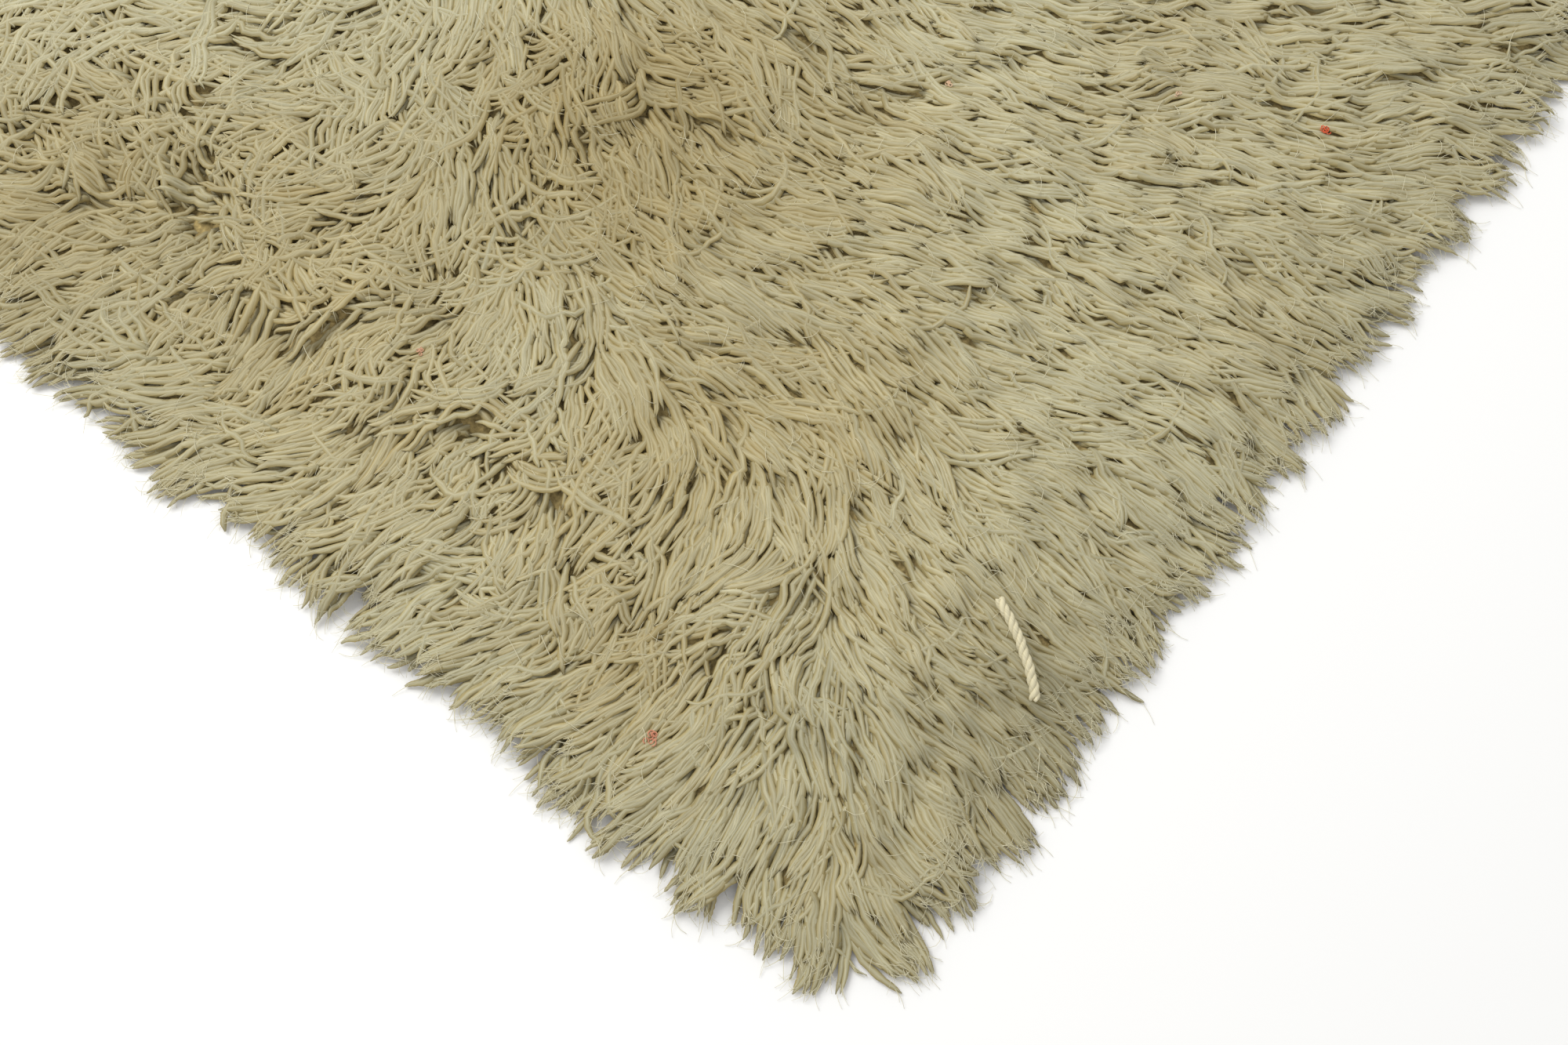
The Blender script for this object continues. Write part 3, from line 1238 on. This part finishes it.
PLY_FROM = (-0.260, -0.672)
PLY_TO = (-0.297, -0.731)
PLY_RADIUS = 0.0033
PLY_RINGS = 26
PLY_SIDES = 8
PLY_TWIST = 0.017
PLY_FIBRE_TWIST = 1.1
PLY_COLOUR = linear(218, 209, 176)


def plied_line():
    """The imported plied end's middle line, from its start to its cut end."""
    solid = node_tree_of("plied_tuft")
    high = Vector(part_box("plied_tuft")[1])
    share = (np.arange(PLY_RINGS) + 0.5) / PLY_RINGS
    ahead = Vector((PLY_TO[0] - PLY_FROM[0], PLY_TO[1] - PLY_FROM[1], 0.0))
    side = Vector((-ahead.y, ahead.x, 0.0)).normalized()
    down = Vector((0.0, 0.0, -1.0))
    line = []
    for part in share:
        middle = Vector((*PLY_FROM, high.z + 0.02)) + ahead * (0.02 + 0.96 * part)
        best = None
        for step in range(-24, 25):
            hit = solid.ray_cast(middle + side * (0.0006 * step), down)[0]
            if hit and (best is None or hit.z > best.z):
                best = hit
        if best:
            line.append((best.x, best.y, best.z - PLY_RADIUS))
    return np.array(line)


def make_plied_tuft():
    """Three plies wound round each other, fraying a little at the cut end."""
    line = plied_line()
    smooth_along(line.T, 6)
    rings = np.linspace(0, 1, 3 * PLY_RINGS)
    line = resample(line[None], rings[None])[0]
    ahead = np.gradient(line, axis=0)
    ahead /= np.linalg.norm(ahead, axis=1, keepdims=True)
    side = np.stack([-ahead[:, 1], ahead[:, 0], np.zeros(len(line))], axis=-1)
    side /= np.linalg.norm(side, axis=1, keepdims=True)
    over = np.cross(ahead, side)
    run = np.concatenate([[0.0], np.linalg.norm(np.diff(line, axis=0), axis=1).cumsum()])
    spread = PLY_RADIUS * 0.44 * (1 + 0.5 * smooth_step(rings, 0.93, 1.0))
    plies = []
    for ply in range(3):
        turn = math.tau * (run / PLY_TWIST + ply / 3)
        wound = side * np.cos(turn)[:, None] + over * np.sin(turn)[:, None]
        plies.append(line + wound * spread[:, None])
    path = np.stack(plies)
    radius = np.full(path.shape[:2], PLY_RADIUS * 0.58)
    radius *= 1 - 0.45 * smooth_step(rings, 0.95, 1.0)[None, :]
    tint = np.broadcast_to(PLY_COLOUR, (3, len(rings), 3))
    material = yarn_material("plied_yarn_wool", PLY_FIBRE_TWIST)
    piece = make_tubes("plied_yarn", path, radius, PLY_SIDES, tint, material)
    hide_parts("plied_tuft")


# Stray fibres and lint

RIM_FIBRES = 2
LOOSE_FIBRES = 1200
RIM_FIBRE_LENGTH = (0.007, 0.017)
LOOSE_FIBRE_LENGTH = (0.008, 0.024)
FIBRE_RADIUS = 0.00022
FIBRE_RINGS = 5
FIBRE_COLOUR = linear(216, 210, 180)
LINT_RADIUS = 0.00035
LINT_RINGS = 8

LINT_SPECKS = (
    # photo x, photo y, size, colour, fibres
    (1697, 153, 0.0040, (214, 96, 62), 7),
    (828, 937, 0.0050, (205, 140, 112), 8),
    (1210, 95, 0.0035, (212, 178, 146), 4),
    (1505, 115, 0.0030, (214, 180, 150), 4),
    (535, 450, 0.0035, (206, 158, 128), 4),
)


def make_stray_fibres(yarns, heights, field):
    """Fine single fibres that stand off the yarns, more of them at the rim's tips."""
    rng = np.random.default_rng(SEED + 31)
    seen = np.flatnonzero(yarns.seen)
    tip_out = outside_weave(yarns.path[seen, -1, 0], yarns.path[seen, -1, 1]) > 0.004
    rim = np.repeat(seen[tip_out], RIM_FIBRES)
    loose = rng.choice(seen, LOOSE_FIBRES)
    chosen = np.concatenate([rim, loose])
    at_rim = np.arange(chosen.size) < rim.size
    place = np.where(at_rim, PATH_STEPS - rng.integers(1, 6, chosen.size),
                     rng.integers(PATH_STEPS // 2, PATH_STEPS, chosen.size))
    start = yarns.path[chosen, place]
    ahead = yarns.path[chosen, place] - yarns.path[chosen, place - 3]
    heading = np.arctan2(ahead[:, 1], ahead[:, 0])
    heading = heading + rng.normal(0.0, 1.0, chosen.size) * np.where(at_rim, 0.35, 0.9)
    rim_length = rng.uniform(*RIM_FIBRE_LENGTH, chosen.size)
    length = np.where(at_rim, rim_length, rng.uniform(*LOOSE_FIBRE_LENGTH, chosen.size))
    curl = rng.normal(0.0, 60.0, chosen.size)
    rings = FIBRE_RINGS
    path = np.zeros((chosen.size, rings, 3))
    path[:, 0, :2] = start
    for ring in range(1, rings):
        turn = heading + curl * length * (ring / (rings - 1))
        path[:, ring, 0] = path[:, ring - 1, 0] + length / (rings - 1) * np.cos(turn)
        path[:, ring, 1] = path[:, ring - 1, 1] + length / (rings - 1) * np.sin(turn)
    share = np.linspace(0, 1, rings)
    under = field.heights[field.cells(path[..., 0], path[..., 1])]
    under[:, 0] = heights[chosen, place]
    smooth_along(under, 2)
    arch = np.where(at_rim, 0.0006, rng.uniform(0.0006, 0.0035, chosen.size))
    path[:, :, 2] = under + arch[:, None] * np.sin(math.pi * 0.8 * share)[None, :]
    path[:, :, 2] = np.clip(path[:, :, 2], 0.0003, SETTLE_CAP + 0.002)
    thin = rng.uniform(FIBRE_RADIUS * 0.7, FIBRE_RADIUS * 1.3, chosen.size)
    radius = thin[:, None] * (1 - 0.5 * share)[None, :]
    tint = np.broadcast_to(FIBRE_COLOUR, (chosen.size, rings, 3))
    piece = make_tubes("stray_fibres", path, radius, 3, tint, fibre_material())
    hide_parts("pile")


def make_lint(field):
    """Specks of dyed lint caught in the pile: a few curled fibres each."""
    rng = np.random.default_rng(SEED + 41)
    rings = LINT_RINGS
    paths = []
    tints = []
    for photo_x, photo_y, size, colour, count in LINT_SPECKS:
        middle_x, middle_y = on_rug(photo_x, photo_y, 0.035)
        for _ in range(count):
            heading = rng.uniform(0.0, math.tau)
            curl = rng.uniform(0.4, 1.0) * rng.choice([-1, 1])
            line = [np.array([middle_x, middle_y]) + rng.normal(0.0, 0.25 * size, 2)]
            for _ in range(rings - 1):
                heading += curl
                line.append(line[-1] + size / 4 * np.array([math.cos(heading), math.sin(heading)]))
            line = np.array(line)
            level = field.heights[field.cells(line[:, 0], line[:, 1])].max()
            height = level + 0.0004 + 0.0008 * rng.uniform(0, 1, rings)
            paths.append(np.concatenate([line, height[:, None]], axis=1))
            tints.append(np.broadcast_to(linear(*colour), (rings, 3)))
    path = np.array(paths)
    path[:, :, 2] = np.minimum(path[:, :, 2], SETTLE_CAP + 0.003)
    radius = np.full(path.shape[:2], LINT_RADIUS)
    piece = make_tubes("dyed_lint", path, radius, 4, np.array(tints), fibre_material())
    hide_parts("pile")


# Camera, floor and light

KEY_POWER = 62.0
KEY_SIZE = 1.8
KEY_COLOUR = (1.0, 0.99, 0.97)
SURROUND_STRENGTH = 0.70


def place_camera():
    data = bpy.data.cameras.new("camera")
    data.sensor_width = SENSOR_MM
    data.lens = LENS_MM
    data.clip_start = 0.01
    camera = bpy.data.objects.new("camera", data)
    right, up, forward = photo_axes()
    turn = Matrix((right, up, -forward)).transposed()
    camera.matrix_world = Matrix.Translation(camera_place()) @ turn.to_4x4()
    bpy.context.scene.collection.objects.link(camera)
    bpy.context.scene.camera = camera


def lay_floor():
    material, _, shader = new_material("floor_white")
    shader.inputs["Base Color"].default_value = (0.93, 0.93, 0.92, 1.0)
    shader.inputs["Roughness"].default_value = 0.9
    shader.inputs["Specular IOR Level"].default_value = 0.1
    bpy.ops.mesh.primitive_plane_add(size=14.0, location=(0.0, 0.0, -0.0006))
    floor = bpy.context.object
    floor.name = "floor"
    floor.data.materials.append(material)


def add_soft_light(name, place, target, size, power, colour):
    data = bpy.data.lights.new(name, "AREA")
    data.shape = "RECTANGLE"
    data.size = size
    data.size_y = size
    data.energy = power
    data.color = colour
    light = bpy.data.objects.new(name, data)
    light.location = place
    light.rotation_euler = (Vector(target) - Vector(place)).to_track_quat("-Z", "Y").to_euler()
    bpy.context.scene.collection.objects.link(light)


def light_studio():
    """A large soft light from the photograph's upper left, and an even pale surround."""
    right, _, forward = photo_axes()
    away = Vector((forward.x, forward.y, 0.0)).normalized()
    middle = Vector((*on_rug(1000, 600), 0.0))
    key = middle - right * 1.5 + away * 1.3 + Vector((0.0, 0.0, 2.3))
    add_soft_light("key_light", key, middle, KEY_SIZE, KEY_POWER, KEY_COLOUR)
    world = bpy.data.worlds.new("studio")
    world.use_nodes = True
    surround = world.node_tree.nodes["Background"]
    surround.inputs["Color"].default_value = (1.0, 1.0, 1.0, 1.0)
    surround.inputs["Strength"].default_value = SURROUND_STRENGTH
    bpy.context.scene.world = world
    bpy.context.scene.view_settings.view_transform = "Standard"


def main():
    place_camera()
    solid_top = solid_top_field()
    yarns = Yarns(solid_top)
    field = bare_field(solid_top)
    heights = lay_down(yarns, field)
    for _ in range(HOLE_ROUNDS):
        extra = fill_holes(yarns, field)
        heights = np.concatenate([heights, lay_down(extra, field)])
        yarns.add(extra)
    heights = drop_hidden(yarns, heights, field)
    heights = settle(yarns, heights, field, solid_top)
    dress_pile(yarns, heights)
    make_undercoat(field)
    make_weave()
    make_plied_tuft()
    make_stray_fibres(yarns, heights, field)
    make_lint(field)
    lay_floor()
    light_studio()


main()
